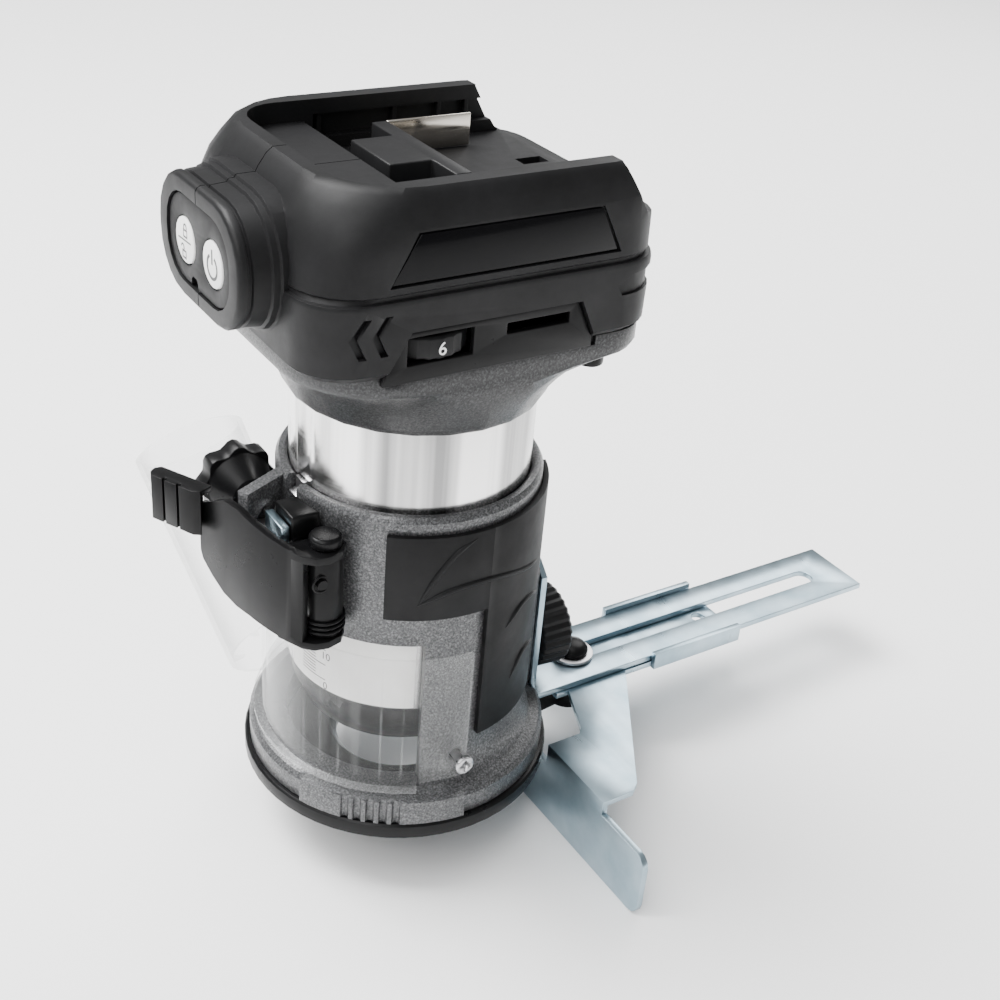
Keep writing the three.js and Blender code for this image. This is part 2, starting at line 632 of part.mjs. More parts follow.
// Head shell: one closed skin, hollowed, then parted down its middle plane.
// Each ring gives its height, left end, half width, radius of the left corners and right end.
const HEAD_RINGS = [
  [HEAD_BOTTOM, -47.4, 38.4, 12, 45.4],
  [145.6, -49, 40, 13, 47],
  [SEAM_Z - 1.6, -49, 40.2, 13, 47.2],
  [SEAM_Z - 0.6, -48.7, 39.9, 13, 46.9],
  [SEAM_Z - 0.5, -47.8, 39, 13, 46],
  [SEAM_Z + 0.5, -47.8, 39, 15, 46],
  [SEAM_Z + 0.9, -48.1, 39.4, 15, 46.4],
  [172, -47.6, 39.1, 17, 46.4],
  [178, -45.8, 38.6, 19, 46],
  [182, -43.6, 37.6, 20, 45],
  [184.8, -41.6, 36.4, 20, 44],
  [HEAD_TOP, -40, 35.1, 20, 43],
];
const RIGHT_CORNER_R = 13;

const padOutline = (grow) => roundedOutline(-PAD_HALF - grow, PAD_HALF + grow, PAD_HIGH + grow,
  PAD_CORNER_R + grow, PAD_CORNER_R + grow, 5, POD_Z);

// The pod's outline at a distance outside its own edge, as [y, z] points.
const podOutline = (grow) => roundedOutline(-POD_HALF - grow, POD_HALF + grow, POD_HIGH + grow,
  POD_CORNER_R + grow, POD_CORNER_R + grow, 5, POD_Z);
const POD_STEPS = [
  [-58.7, -1.2], [-58.2, -0.4], [-57.4, 0], [-56.3, 0], [-56, -0.7], [-55.4, -0.7], [-55.1, -0.1],
  [-51.2, 0.2], [-50.8, 0.9], [-49.4, 1], [-49, 1.7], [-40, 1.9],
];

function headBlank() {
  const shell = loft(HEAD_RINGS.map(([z, left, half, radius, right]) => (
    atHeight(roundedOutline(left, right, half, radius, RIGHT_CORNER_R), z))));
  const pod = loft(POD_STEPS.map(([x, grow]) => atLength(podOutline(grow), x)));
  return join(shell, pod);
}

// Shallow recess that runs round the right end of the lower band.
function endRecess() {
  const outline = [[33, 154.2], [60, 154.2], [60, 160], [36, 159.4], [31, 157]];
  const kept = prism(roundedOutline(-48, 46.4, 39.4, 12, RIGHT_CORNER_R - 0.7), 140, 170);
  return cut(prismY(outline, -60, 60), kept);
}

function headCuts() {
  const rampEnd = prismY([
    [60, 190], [31.5, 190], [32.3, 185.6], [33.4, 183.6], [37.4, 176.6], [39.4, 173.8], [43.4, 171.9],
    [60, 171.4],
  ].reverse(), -60, 60);
  const hollow = [HEAD_BOTTOM - 1, 171.2].map((z) => atHeight(roundedOutline(-36, 27, 35, 14, 4), z));
  return [
    loft(hollow),
    loft([SLOT_FLOOR, 200].map((z) => atHeight(roundedOutline(-17.8, 80, SLOT_HALF, 1, 1), z))),
    loft([180.7, 200].map((z) => atHeight(roundedOutline(SLOT_LEFT, 60, SLOT_HALF, 11, 1), z))),
    box(-15, 80, -UNDERCUT_HALF, UNDERCUT_HALF, 176.2, 182.2),
    box(40, 80, -UNDERCUT_HALF, UNDERCUT_HALF, SLOT_FLOOR, 190),
    box(31.2, 38.8, 3.6, 8, 160, 180),
    rampEnd,
    endRecess(),
    prismX(padOutline(GAP), -70, -56.6),
    prismX(roundedOutline(-15, 15, 8.6, 4, 4, 5, POD_Z), -60, -30),
    ...CAST_SCREW_SPOTS.map(([x, y]) => rod('z', 1.7 + GAP, 140, 152.4, x, y, SMALL)),
    ...HEAD_SCREW_SPOTS.map((spot) => headScrew(spot, GAP)),
    prismY([[-32.4, 142], [27.4, 142], [21.4, 154.6], [-24.9, 154.6]], -60, -36.9),
    box(-28, 21, -37.5, -30, 142, 152.9),
    prismY([[-30.6, 165.4], [31.6, 165.4], [25.6, 177.2], [-23.6, 177.2]], -60, -38.1),
  ];
}

function headScrew([x, z], slack = 0) {
  const head = rod('y', 2.8 + slack, 34.6 - slack, slack ? 60 : 37.4, x, z, SMALL);
  return join(head, rod('y', 1.5 + slack, -12 - slack, 36, x, z, SMALL));
}

const head = cut(headBlank(), ...headCuts());

function dialPanel() {
  const panel = prismY([[-31.4, PANEL_LOW], [-30.6, 144.4], [-24.9, 154.2], [21.2, 154.2], [25.8, 144.4],
    [26.2, PANEL_LOW]].reverse(), -38.9, -37.2);
  const dialWindow = box(-25.2, -7.8, -50, -30, 145.8, 152.6);
  const ventSlot = box(1.2, 18.8, -50, -30, 149.2, 151.9);
  return cut(panel, dialWindow, ventSlot);
}

function speedDial() {
  const outline = lobedOutline(11.6, 11.2, 24, 2);
  const rings = [[146.3, 0.95], [146.9, 1], [151.4, 1], [152, 0.95]]
    .map(([z, scale]) => atHeight(outline.map(([x, y]) => [x * scale, y * scale]), z));
  return cut(loft(rings), rod('z', 2.2 + GAP, 140, 160, 0, 0, SMALL)).translate([...DIAL, 0]);
}

function speedPot() {
  return join(rod('z', 7, 152.4, 157.4, ...DIAL, MEDIUM), rod('z', 2.2, 147, 153, ...DIAL, SMALL));
}

add('motor_barrel', motorBarrel(), BRIGHT_ALUMINIUM);
add('depth_rack', depthRack(), STEEL);
add('upper_casting', upperCasting(), HAMMERED_GREY);
CAST_SCREW_SPOTS.forEach((spot, i) => add(`casting_screw_${i + 1}`, castScrew(spot), BLACK_STEEL));
add('front_housing', head.intersect(box(-90, 90, -90, -SPLIT, 100, 220)), BLACK_PLASTIC);
add('rear_housing', head.intersect(box(-90, 90, SPLIT, 90, 100, 220)), BLACK_PLASTIC);
HEAD_SCREW_SPOTS.forEach((spot, i) => add(`housing_screw_${i + 1}`, headScrew(spot), STEEL));
add('dial_panel', dialPanel(), BLACK_PLASTIC);
add('speed_dial', speedDial(), BLACK_PLASTIC);
add('speed_potentiometer', speedPot(), STEEL);
const SIDE_PANEL = [[-29.9, 165.8], [30.9, 165.8], [25.2, 176.8], [-23.1, 176.8]];
add('side_panel', prismY(SIDE_PANEL, -38.8, -38.3), GLOSS_BLACK);

// Battery shoe: contact block and two upright blades between the rails.
const CONTACT_TOP = 182.2;
const contactBar = box(-4, 0.4, -20.6, 20.6, SLOT_FLOOR + GAP, CONTACT_TOP);
const contactHead = box(-15.4, -3, -9.7, 9.7, SLOT_FLOOR + GAP, CONTACT_TOP);
add('contact_block', join(contactBar, contactHead), BLACK_PLASTIC);
add('contact_blade_front', box(0.9, 25.4, -22.2, -21.2, SLOT_FLOOR + GAP, CONTACT_TOP - 0.4), STEEL);
add('contact_blade_rear', box(0.9, 25.4, 21.2, 22.2, SLOT_FLOOR + GAP, CONTACT_TOP - 0.4), STEEL);

// Switch pad in the end of the pod, with its two push buttons.
function switchPad() {
  const plate = prismX(padOutline(0), -58.2, -56.9);
  return cut(plate, ...[-1, 1].map((side) => (
    rod('x', BUTTON_R + GAP, -70, -50, side * BUTTON_Y, BUTTON_Z, MEDIUM))));
}

function pushButton(y) {
  const cap = rod('x', BUTTON_R, BUTTON_FACE, BUTTON_FACE + 1.3, y, BUTTON_Z, MEDIUM);
  return join(cap, rod('x', 2, BUTTON_FACE + 1.2, -53, y, BUTTON_Z, SMALL));
}

add('switch_pad', switchPad(), BLACK_PLASTIC);
add('power_button', pushButton(-BUTTON_Y), WHITE_PLASTIC);
add('lock_button', pushButton(BUTTON_Y), WHITE_PLASTIC);
add('switch_board', box(-51.2, -49.6, -11, 11, POD_Z - 7.4, POD_Z + 7.4), GREEN_BOARD);
add('control_board', box(-30, 24, -26, 26, 158, 159.6), GREEN_BOARD);

// ---------- motor parts inside the barrel ----------
function barrelNose() {
  return turned([
    [11.4, 29], [24, 29], [24, 23], [25.6, 22], [27.6, 22], [31.6, 30.6], [31.6, 35.7], [29.2, 35.7],
    [29.2, 42], [26, 42], [26, 34.4], [11.4, 34.4],
  ], 40);
}

function bearing(outer, inner, low, high) {
  return tube(outer, inner, low, high, MEDIUM);
}

const SHAFT_R = 4;

function motorShaft() {
  return turned([
    [0, 24], [6.4, 24], [6.4, 28.4], [SHAFT_R, 29.4], [SHAFT_R, 134], [0, 134],
  ], MEDIUM);
}

function coolingFan() {
  const hub = tube(8, SHAFT_R + GAP, 46, 55, MEDIUM);
  const disc = tube(25.5, 7.5, 46, 47.6, MEDIUM);
  const blades = Array.from({ length: 9 }, (_, i) => (
    box(7, 25, -0.7, 0.7, 47.2, 54.6).rotate([0, 0, 40 * i])));
  return join(hub, disc, ...blades);
}

function stator() {
  const yoke = tube(29, 23, 62, 108, 40);
  const poles = Array.from({ length: 6 }, (_, i) => (
    box(17.4, 24, -3.2, 3.2, 62, 108).rotate([0, 0, 60 * i])));
  return join(yoke, ...poles);
}

function bearingBridge() {
  const disc = tube(29.1, 11.4, 124, 127, 40);
  const seat = tube(13.4, 11.4, 124, 133, MEDIUM);
  return join(disc, seat);
}

function colletNut() {
  const hex = prism(hexOutline(19), 11.5, 20);
  const skirt = rod('z', 9, 19.9, 27.6, 0, 0, MEDIUM);
  const chamfer = turned([[0, 9], [7.4, 9], [9.4, 11.6], [0, 11.6]], MEDIUM);
  const bore = turned([[0, 8], [5.4, 8], [5.4, 12], [7, 24], [7, 28], [0, 28]], MEDIUM);
  return cut(join(hex, skirt, chamfer), bore);
}

function colletCone() {
  return turned([[3.2, 10], [5, 10], [5, 12.2], [6.3, 23.4], [3.2, 23.4]], MEDIUM);
}

add('barrel_nose', barrelNose(), BLACK_PLASTIC);
add('lower_bearing', bearing(11, SHAFT_R + GAP, 29.6, 34.2), STEEL);
add('upper_bearing', bearing(11, SHAFT_R + GAP, 127.4, 132.6), STEEL);
add('bearing_bridge', bearingBridge(), BRIGHT_ALUMINIUM);
add('stator', stator(), COPPER);
add('rotor', tube(16.8, SHAFT_R + GAP, 63, 107, MEDIUM), STEEL);
add('cooling_fan', coolingFan(), BLACK_PLASTIC);
add('motor_shaft', motorShaft(), STEEL);
add('collet_cone', colletCone(), STEEL);
add('collet_nut', colletNut(), STEEL);

// Put the origin at the centre of the bottom of the bounding box.
const bounds = new THREE.Box3().setFromObject(router);
router.position.set(
  -(bounds.min.x + bounds.max.x) / 2,
  -(bounds.min.y + bounds.max.y) / 2,
  -bounds.min.z,
);
const model = new THREE.Group();
model.add(router);

export default model;
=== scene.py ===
import json
import math

import bpy
from mathutils import Matrix, Vector


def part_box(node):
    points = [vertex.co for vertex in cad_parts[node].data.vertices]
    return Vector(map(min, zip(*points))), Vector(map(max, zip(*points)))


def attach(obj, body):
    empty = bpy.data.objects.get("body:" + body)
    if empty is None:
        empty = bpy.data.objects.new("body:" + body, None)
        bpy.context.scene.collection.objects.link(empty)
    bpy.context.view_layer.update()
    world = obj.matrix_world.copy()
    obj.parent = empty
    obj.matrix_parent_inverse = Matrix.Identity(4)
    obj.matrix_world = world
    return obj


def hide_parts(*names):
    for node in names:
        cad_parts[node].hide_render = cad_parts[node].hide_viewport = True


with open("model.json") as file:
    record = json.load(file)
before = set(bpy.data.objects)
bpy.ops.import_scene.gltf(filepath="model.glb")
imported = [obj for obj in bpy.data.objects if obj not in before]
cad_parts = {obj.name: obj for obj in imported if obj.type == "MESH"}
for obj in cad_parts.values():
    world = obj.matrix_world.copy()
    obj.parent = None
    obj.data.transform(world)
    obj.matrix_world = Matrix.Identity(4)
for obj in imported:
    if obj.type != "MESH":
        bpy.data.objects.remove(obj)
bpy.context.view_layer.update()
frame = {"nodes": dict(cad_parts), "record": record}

# ---------------------------------------------------------------- camera
# The tool is set out from the point where the cutter axis meets the underside of the sole. The
# camera looks at it from the front left, a little above the head, and leans slightly.
barrel_low, barrel_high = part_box("motor_barrel")
AXIS_X = (barrel_low.x + barrel_high.x) / 2
SOLE_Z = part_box("sole_plate")[0].z
MM = 0.001


def at(x, y, z):
    """A place given in millimetres from the foot of the cutter axis."""
    return Vector((AXIS_X + x * MM, y * MM, SOLE_Z + z * MM))


VIEW_AZIMUTH = math.radians(-35)
VIEW_ELEVATION = math.radians(30.9)
VIEW_ROLL = math.radians(5.21)
VIEW_DISTANCE = 0.4175
VIEW_CENTRE = at(30.7, 0, 75.1)
backward = Vector((
    math.cos(VIEW_ELEVATION) * math.sin(VIEW_AZIMUTH),
    -math.cos(VIEW_ELEVATION) * math.cos(VIEW_AZIMUTH),
    math.sin(VIEW_ELEVATION),
))
level = Vector((math.cos(VIEW_AZIMUTH), math.sin(VIEW_AZIMUTH), 0))
upright = backward.cross(level)
rightward = level * math.cos(VIEW_ROLL) + upright * math.sin(VIEW_ROLL)
upward = upright * math.cos(VIEW_ROLL) - level * math.sin(VIEW_ROLL)
bpy.ops.object.camera_add()
camera = bpy.context.object
camera.data.lens = 52.33
camera.data.sensor_width = 36
eye = VIEW_CENTRE + backward * VIEW_DISTANCE
turned = Matrix((rightward, upward, backward)).transposed().to_4x4()
camera.matrix_world = Matrix.Translation(eye) @ turned
bpy.context.scene.camera = camera

# ---------------------------------------------------------------- motor barrel
# A drawn aluminium tube, turned bright outside so that it slides in the clamped base. Its
# lower half carries a white vinyl label with a millimetre scale for the depth of cut.
BARREL_R = 32.5


def only(piece):
    bpy.ops.object.select_all(action="DESELECT")
    piece.select_set(True)
    bpy.context.view_layer.objects.active = piece


def apply_modifier(piece, kind, **settings):
    only(piece)
    modifier = piece.modifiers.new(kind.title(), kind)
    for key, value in settings.items():
        setattr(modifier, key, value)
    bpy.ops.object.modifier_apply(modifier=modifier.name)


def smooth(piece, degrees=35):
    only(piece)
    bpy.ops.object.shade_smooth_by_angle(angle=math.radians(degrees))


def body_of_node(node):
    bodies = frame["record"]["behaviour"]["bodies"]
    return next(body for body, members in bodies.items() if node in members)


def dressed(node, edge=0.0, material=None, angle=35):
    """A merged copy of a frame node with its edges broken, which shows in the node's place."""
    piece = bpy.data.objects.new(node + "_piece", frame["nodes"][node].data.copy())
    bpy.context.scene.collection.objects.link(piece)
    only(piece)
    bpy.ops.object.mode_set(mode="EDIT")
    bpy.ops.mesh.select_all(action="SELECT")
    bpy.ops.mesh.remove_doubles(threshold=2e-6)
    bpy.ops.mesh.dissolve_limited(angle_limit=math.radians(1.0))
    bpy.ops.object.mode_set(mode="OBJECT")
    if edge:
        apply_modifier(piece, "BEVEL", width=edge * MM, segments=2, limit_method="ANGLE",
                       angle_limit=math.radians(angle), miter_outer="MITER_ARC",
                       use_clamp_overlap=True)
    apply_modifier(piece, "TRIANGULATE", min_vertices=5)
    smooth(piece, angle)
    settle(piece, body_of_node(node), material)
    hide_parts(node)
    return piece


def settle(piece, body, material):
    piece.data.materials.clear()
    piece.data.materials.append(material)
    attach(piece, body)


def new_material(name):
    material = bpy.data.materials.new(name)
    material.use_nodes = True
    nodes = material.node_tree.nodes
    return material, nodes, material.node_tree.links, nodes["Principled BSDF"]


def object_pattern(nodes, links, kind, stretch=(1, 1, 1), **inputs):
    """A procedural texture laid on object coordinates."""
    coordinates = nodes.new("ShaderNodeTexCoord")
    mapping = nodes.new("ShaderNodeMapping")
    mapping.inputs["Scale"].default_value = stretch
    texture = nodes.new(kind)
    for key, value in inputs.items():
        texture.inputs[key].default_value = value
    links.new(coordinates.outputs["Object"], mapping.inputs["Vector"])
    links.new(mapping.outputs["Vector"], texture.inputs["Vector"])
    return texture


def tone(nodes, links, source, stops, target):
    ramp = nodes.new("ShaderNodeValToRGB")
    while len(ramp.color_ramp.elements) < len(stops):
        ramp.color_ramp.elements.new(0.5)
    for element, (place, colour) in zip(ramp.color_ramp.elements, stops):
        element.position = place
        element.color = (*colour, 1)
    links.new(source, ramp.inputs["Fac"])
    links.new(ramp.outputs["Color"], target)


def spread(nodes, links, source, low, high, target, start=0.3, stop=0.7):
    reach = nodes.new("ShaderNodeMapRange")
    reach.inputs["From Min"].default_value = start
    reach.inputs["From Max"].default_value = stop
    reach.inputs["To Min"].default_value = low
    reach.inputs["To Max"].default_value = high
    links.new(source, reach.inputs["Value"])
    links.new(reach.outputs["Result"], target)


def relief(nodes, links, height, shader, depth, strength=0.5):
    bump = nodes.new("ShaderNodeBump")
    bump.inputs["Strength"].default_value = strength
    bump.inputs["Distance"].default_value = depth
    links.new(height, bump.inputs["Height"])
    links.new(bump.outputs["Normal"], shader.inputs["Normal"])


def brushed_metal(name, dark, light, rough, stretch, scale=60, depth=0.00001,
                  tone_and_reflection_stretch=(1, 1, 1), stops=(0.3, 0.7)):
    """Bare or plated metal: fine streaks in its roughness over broad patches of tone. Patches
    stretched into long bands are painted reflections.
    """
    material, nodes, links, shader = new_material(name)
    shader.inputs["Metallic"].default_value = 1
    streaks = object_pattern(nodes, links, "ShaderNodeTexNoise", stretch, Scale=scale, Detail=6)
    tone_and_painted_reflection = object_pattern(nodes, links, "ShaderNodeTexNoise", tone_and_reflection_stretch, Scale=70, Detail=4)
    tone(nodes, links, tone_and_painted_reflection.outputs["Fac"], [(stops[0], dark), (stops[1], light)],
         shader.inputs["Base Color"])
    spread(nodes, links, streaks.outputs["Fac"], rough[0], rough[1], shader.inputs["Roughness"])
    relief(nodes, links, streaks.outputs["Fac"], shader, depth, 0.35)
    return material


# The barrel's colour runs in long vertical bands from near black to near white: painted
# reflections.
bright_aluminium = brushed_metal("turned_aluminium", (0.24, 0.24, 0.24), (0.96, 0.95, 0.94),
                                 (0.14, 0.26), (1, 1, 60), tone_and_reflection_stretch=(1, 1, 0.02),
                                 stops=(0.38, 0.56))
dressed("motor_barrel", 0.4, bright_aluminium)

LABEL_R = BARREL_R + 0.06
LABEL_LOW = 36.6
LABEL_HIGH = 64
LABEL_FROM = -186
LABEL_TO = -113


def on_barrel(azimuth, z, radius=LABEL_R):
    turn = math.radians(azimuth)
    return at(radius * math.cos(turn), radius * math.sin(turn), z)


def curved_patch(name, azimuths, heights, radius, thickness, columns):
    """A thin sheet wrapped on the barrel between two azimuths and two heights."""
    low, high = heights
    first, last = azimuths
    bpy.ops.mesh.primitive_grid_add(x_subdivisions=columns, y_subdivisions=1, size=1)
    piece = bpy.context.object
    piece.name = name
    for vertex in piece.data.vertices:
        along = vertex.co.x + 0.5
        up = vertex.co.y + 0.5
        vertex.co = on_barrel(first + (last - first) * along, low + (high - low) * up, radius)
    piece.matrix_world = Matrix.Identity(4)
    apply_modifier(piece, "SOLIDIFY", thickness=thickness * MM, offset=1)
    return piece


vinyl, nodes, links, shader = new_material("white_vinyl")
shader.inputs["Roughness"].default_value = 0.38
smudge = object_pattern(nodes, links, "ShaderNodeTexNoise", Scale=90, Detail=5)
tone(nodes, links, smudge.outputs["Fac"], [(0.3, (0.74, 0.73, 0.71)), (0.7, (0.86, 0.86, 0.84))],
     shader.inputs["Base Color"])
ink, nodes, links, shader = new_material("printing_ink")
shader.inputs["Roughness"].default_value = 0.5
wear = object_pattern(nodes, links, "ShaderNodeTexNoise", Scale=900, Detail=3)
tone(nodes, links, wear.outputs["Fac"], [(0.3, (0.02, 0.02, 0.022)), (0.75, (0.06, 0.06, 0.06))],
     shader.inputs["Base Color"])

label = curved_patch("depth_label", (LABEL_FROM, LABEL_TO), (LABEL_LOW, LABEL_HIGH),
                     BARREL_R + 0.02, 0.05, 40)
smooth(label)
settle(label, "motor", vinyl)

SCALE_ZERO = 39.6
SCALE_FROM = -175
for count in range(24):
    reach = 16.5 if count % 5 == 0 else 10
    height = SCALE_ZERO + count
    mark = curved_patch(f"scale_mark_{count}", (SCALE_FROM, SCALE_FROM + reach),
                        (height, height + 0.3), LABEL_R + 0.02, 0.03, 6)
    settle(mark, "motor", ink)


def lettered(name, words, size, origin, right, up, depth, material, body):
    """A printed number with its foot at origin, reading along right, raised by depth."""
    bpy.ops.object.text_add()
    piece = bpy.context.object
    piece.name = name
    piece.data.body = words
    piece.data.size = size * MM
    piece.data.align_x = "CENTER"
    piece.data.extrude = depth * MM / 2
    only(piece)
    bpy.ops.object.convert(target="MESH")
    piece = bpy.context.object
    right = Vector(right).normalized()
    up = Vector(up).normalized()
    place = Matrix((right, up, right.cross(up))).transposed().to_4x4()
    piece.data.transform(Matrix.Translation(origin) @ place)
    piece.matrix_world = Matrix.Identity(4)
    settle(piece, body, material)


NUMBER_AZIMUTH = -158.5
for number, count in (("0", 0), ("10", 10), ("20", 20)):
    turn = math.radians(NUMBER_AZIMUTH)
    foot = on_barrel(NUMBER_AZIMUTH, SCALE_ZERO + count - 2.9, LABEL_R + 0.03)
    lettered(f"scale_number_{number}", number, 3.3, foot, (-math.sin(turn), math.cos(turn), 0),
             (0, 0, 1), 0.04, ink, "motor")

# ---------------------------------------------------------------- motor works
# Inside the barrel: laminated stator with its windings, rotor and steel shaft in two ball
# bearings, a fan, the moulded nose, and the split collet under its nut.
machined_steel = brushed_metal("machined_steel", (0.42, 0.42, 0.43), (0.62, 0.62, 0.63),
                               (0.22, 0.42), (1, 1, 30))


def moulded(name, dark, light, rough, grain=2600, depth=0.00002, coat=0.0, shine=0.14):
    """Moulded plastic with a fine spark-eroded grain and faint handling marks."""
    material, nodes, links, shader = new_material(name)
    shader.inputs["Specular IOR Level"].default_value = shine
    shader.inputs["Coat Weight"].default_value = coat
    shader.inputs["Coat Roughness"].default_value = 0.1
    fine = object_pattern(nodes, links, "ShaderNodeTexNoise", Scale=grain, Detail=3)
    broad = object_pattern(nodes, links, "ShaderNodeTexNoise", Scale=55, Detail=6, Roughness=0.65)
    tone(nodes, links, broad.outputs["Fac"], [(0.35, dark), (0.75, light)],
         shader.inputs["Base Color"])
    spread(nodes, links, broad.outputs["Fac"], rough[1], rough[0], shader.inputs["Roughness"])
    relief(nodes, links, fine.outputs["Fac"], shader, depth, 0.5)
    return material


black_plastic = moulded("black_grained_plastic", (0.005, 0.005, 0.0053), (0.011, 0.011, 0.0117),
                        (0.38, 0.52), shine=0.17)
smooth_black = moulded("smooth_black_plastic", (0.003, 0.003, 0.0032), (0.006, 0.006, 0.0064),
                       (0.25, 0.4), grain=5000, depth=0.000006)
copper = brushed_metal("enamelled_copper", (0.42, 0.15, 0.05), (0.62, 0.27, 0.1), (0.25, 0.4),
                       (1, 1, 0.1), scale=1500, depth=0.0001)
board_green = moulded("circuit_board", (0.008, 0.07, 0.025), (0.015, 0.11, 0.04), (0.3, 0.45),
                      grain=900, shine=0.5)
for node in ("lower_bearing", "upper_bearing", "rotor", "motor_shaft", "collet_cone", "collet_nut"):
    dressed(node, 0.25, machined_steel)
dressed("bearing_bridge", 0.3, bright_aluminium)
dressed("stator", 0.3, copper)
dressed("cooling_fan", 0, black_plastic)
dressed("barrel_nose", 0.4, smooth_black)

# ---------------------------------------------------------------- upper casting
# A die-cast collar pressed on the barrel that flares out to carry the head, sprayed with grey
# hammered enamel: light grains over a darker ground, with brighter flecks scattered at random.


def hammered(name, ground, grain, spark):
    material, nodes, links, shader = new_material(name)
    shader.inputs["Metallic"].default_value = 0.4
    shader.inputs["Coat Weight"].default_value = 0.12
    shader.inputs["Coat Roughness"].default_value = 0.16
    speckle = object_pattern(nodes, links, "ShaderNodeTexNoise", Scale=1900, Detail=5,
                             Roughness=0.62, Distortion=0.6)
    veins = object_pattern(nodes, links, "ShaderNodeTexVoronoi", Scale=950)
    veins.feature = "DISTANCE_TO_EDGE"
    mix = nodes.new("ShaderNodeMath")
    mix.operation = "MULTIPLY_ADD"
    mix.inputs[1].default_value = 0.35
    links.new(veins.outputs["Distance"], mix.inputs[0])
    links.new(speckle.outputs["Fac"], mix.inputs[2])
    tone(nodes, links, mix.outputs["Value"], [(0.4, ground), (0.55, grain), (0.72, spark)],
         shader.inputs["Base Color"])
    spread(nodes, links, speckle.outputs["Fac"], 0.5, 0.28, shader.inputs["Roughness"])
    relief(nodes, links, mix.outputs["Value"], shader, 0.0001, 0.5)
    return material


# The collar's copy of the grey enamel is darkened all over: painted shade.
hammered_grey_painted_shade = hammered("grey_hammered_enamel_painted_shade", (0.006, 0.006, 0.0067), (0.016, 0.0163, 0.017),
                         (0.042, 0.0425, 0.044))
hammered_grey = hammered("grey_hammered_enamel", (0.03, 0.0305, 0.032), (0.07, 0.071, 0.0735),
                         (0.15, 0.152, 0.156))
dressed("upper_casting", 0.8, hammered_grey_painted_shade)
black_steel = moulded("blacked_steel", (0.003, 0.003, 0.0032), (0.007, 0.007, 0.0075), (0.24, 0.38),
                      grain=1800, depth=0.00001, shine=0.12)
for node in ("casting_screw_1", "casting_screw_2"):
    dressed(node, 0.5, black_steel)

# ---------------------------------------------------------------- head housing
# Two glass-filled nylon shells, parted down the middle of the tool and screwed together. They
# hold the electronics, the switch pod at one end and the battery rails on top.


def outline_body(name, corners, depth):
    """A flat outline pushed through by depth into a closed body."""
    mesh = bpy.data.meshes.new(name)
    mesh.from_pydata([tuple(c) for c in corners], [], [tuple(range(len(corners)))])
    piece = bpy.data.objects.new(name, mesh)
    bpy.context.scene.collection.objects.link(piece)
    only(piece)
    bpy.ops.object.mode_set(mode="EDIT")
    bpy.ops.mesh.select_all(action="SELECT")
    bpy.ops.mesh.extrude_region_move(TRANSFORM_OT_translate={"value": depth})
    bpy.ops.mesh.select_all(action="SELECT")
    bpy.ops.mesh.normals_make_consistent(inside=False)
    bpy.ops.object.mode_set(mode="OBJECT")
    return piece


def swept(name, points, radius, closed=False):
    """A round bead along a run of places."""
    curve = bpy.data.curves.new(name, "CURVE")
    curve.dimensions = "3D"
    curve.bevel_depth = radius * MM
    curve.bevel_resolution = 3
    curve.use_fill_caps = True
    spline = curve.splines.new("POLY")
    spline.points.add(len(points) - 1)
    for point, place in zip(spline.points, points):
        point.co = (*place, 1)
    spline.use_cyclic_u = closed
    piece = bpy.data.objects.new(name, curve)
    bpy.context.scene.collection.objects.link(piece)
    only(piece)
    bpy.ops.object.convert(target="MESH")
    return bpy.context.object


def carve(piece, cutters):
    for cutter in cutters:
        apply_modifier(piece, "BOOLEAN", object=cutter, operation="DIFFERENCE", solver="EXACT")
    for cutter in cutters:
        bpy.data.objects.remove(cutter)


front_shell = dressed("front_housing", 0.3, black_plastic, 34)
rear_shell = dressed("rear_housing", 0.3, black_plastic, 34)

HEAD_SIDE = -40.2
CHEVRON_DEPTH = 1.8
chevrons = []
for shift in (0, 5.4):
    outline = [(-35.3, 159.5), (-37.2, 159.5), (-40.4, 154.8), (-38, 149.9), (-36.1, 149.9),
               (-38.3, 154.8)]
    corners = [at(x + shift, HEAD_SIDE - 1, z) for x, z in outline]
    chevrons.append(outline_body("chevron_cut", corners, (0, (1 + CHEVRON_DEPTH) * MM, 0)))
carve(front_shell, chevrons)
for shell in (front_shell, rear_shell):
    smooth(shell, 34)
    apply_modifier(shell, "WEIGHTED_NORMAL", keep_sharp=True)


def block(name, low, high, body, material, edge=0.15):
    """A plain moulded or pressed block between two opposite corners."""
    bpy.ops.mesh.primitive_cube_add(size=1)
    piece = bpy.context.object
    piece.name = name
    low = at(*low)
    high = at(*high)
    reach = high - low
    centre = (low + high) / 2
    for vertex in piece.data.vertices:
        vertex.co = Vector(c * r for c, r in zip(vertex.co, reach)) + centre
    piece.matrix_world = Matrix.Identity(4)
    apply_modifier(piece, "BEVEL", width=edge * MM, segments=2)
    settle(piece, body, material)


RIB_LOW = 176.1
RIB_HIGH = 182.3
RIB_THICK = 1.2
for side_name, inner, outer in (("near", -33.4, -31.5), ("far", 31.5, 33.4)):
    for count, place in enumerate((-13.5, 8, 21.2, 29.6)):
        block(f"rail_rib_{count}_{side_name}", (place, inner, RIB_LOW),
              (place + RIB_THICK, outer, RIB_HIGH), "motor", black_plastic)
for count in (1, 2, 3):
    dressed(f"housing_screw_{count}", 0.3, black_steel)

# ---------------------------------------------------------------- dial, panels and boards
# The speed dial is a knurled black wheel lying flat behind a window in a small moulded panel;
# its rim carries the speed numbers in white. A glossy plate fills the recess above it.
dressed("dial_panel", 0.25, smooth_black)
gloss_black = moulded("gloss_black_plate", (0.0015, 0.0015, 0.002), (0.003, 0.003, 0.0034),
                      (0.08, 0.16), grain=400, depth=0.000002, shine=0.12)
dressed("side_panel", 0.15, gloss_black)
dressed("speed_dial", 0.1, black_plastic)
dressed("speed_potentiometer", 0.3, machined_steel)
for node in ("control_board", "switch_board"):
    dressed(node, 0, board_green)

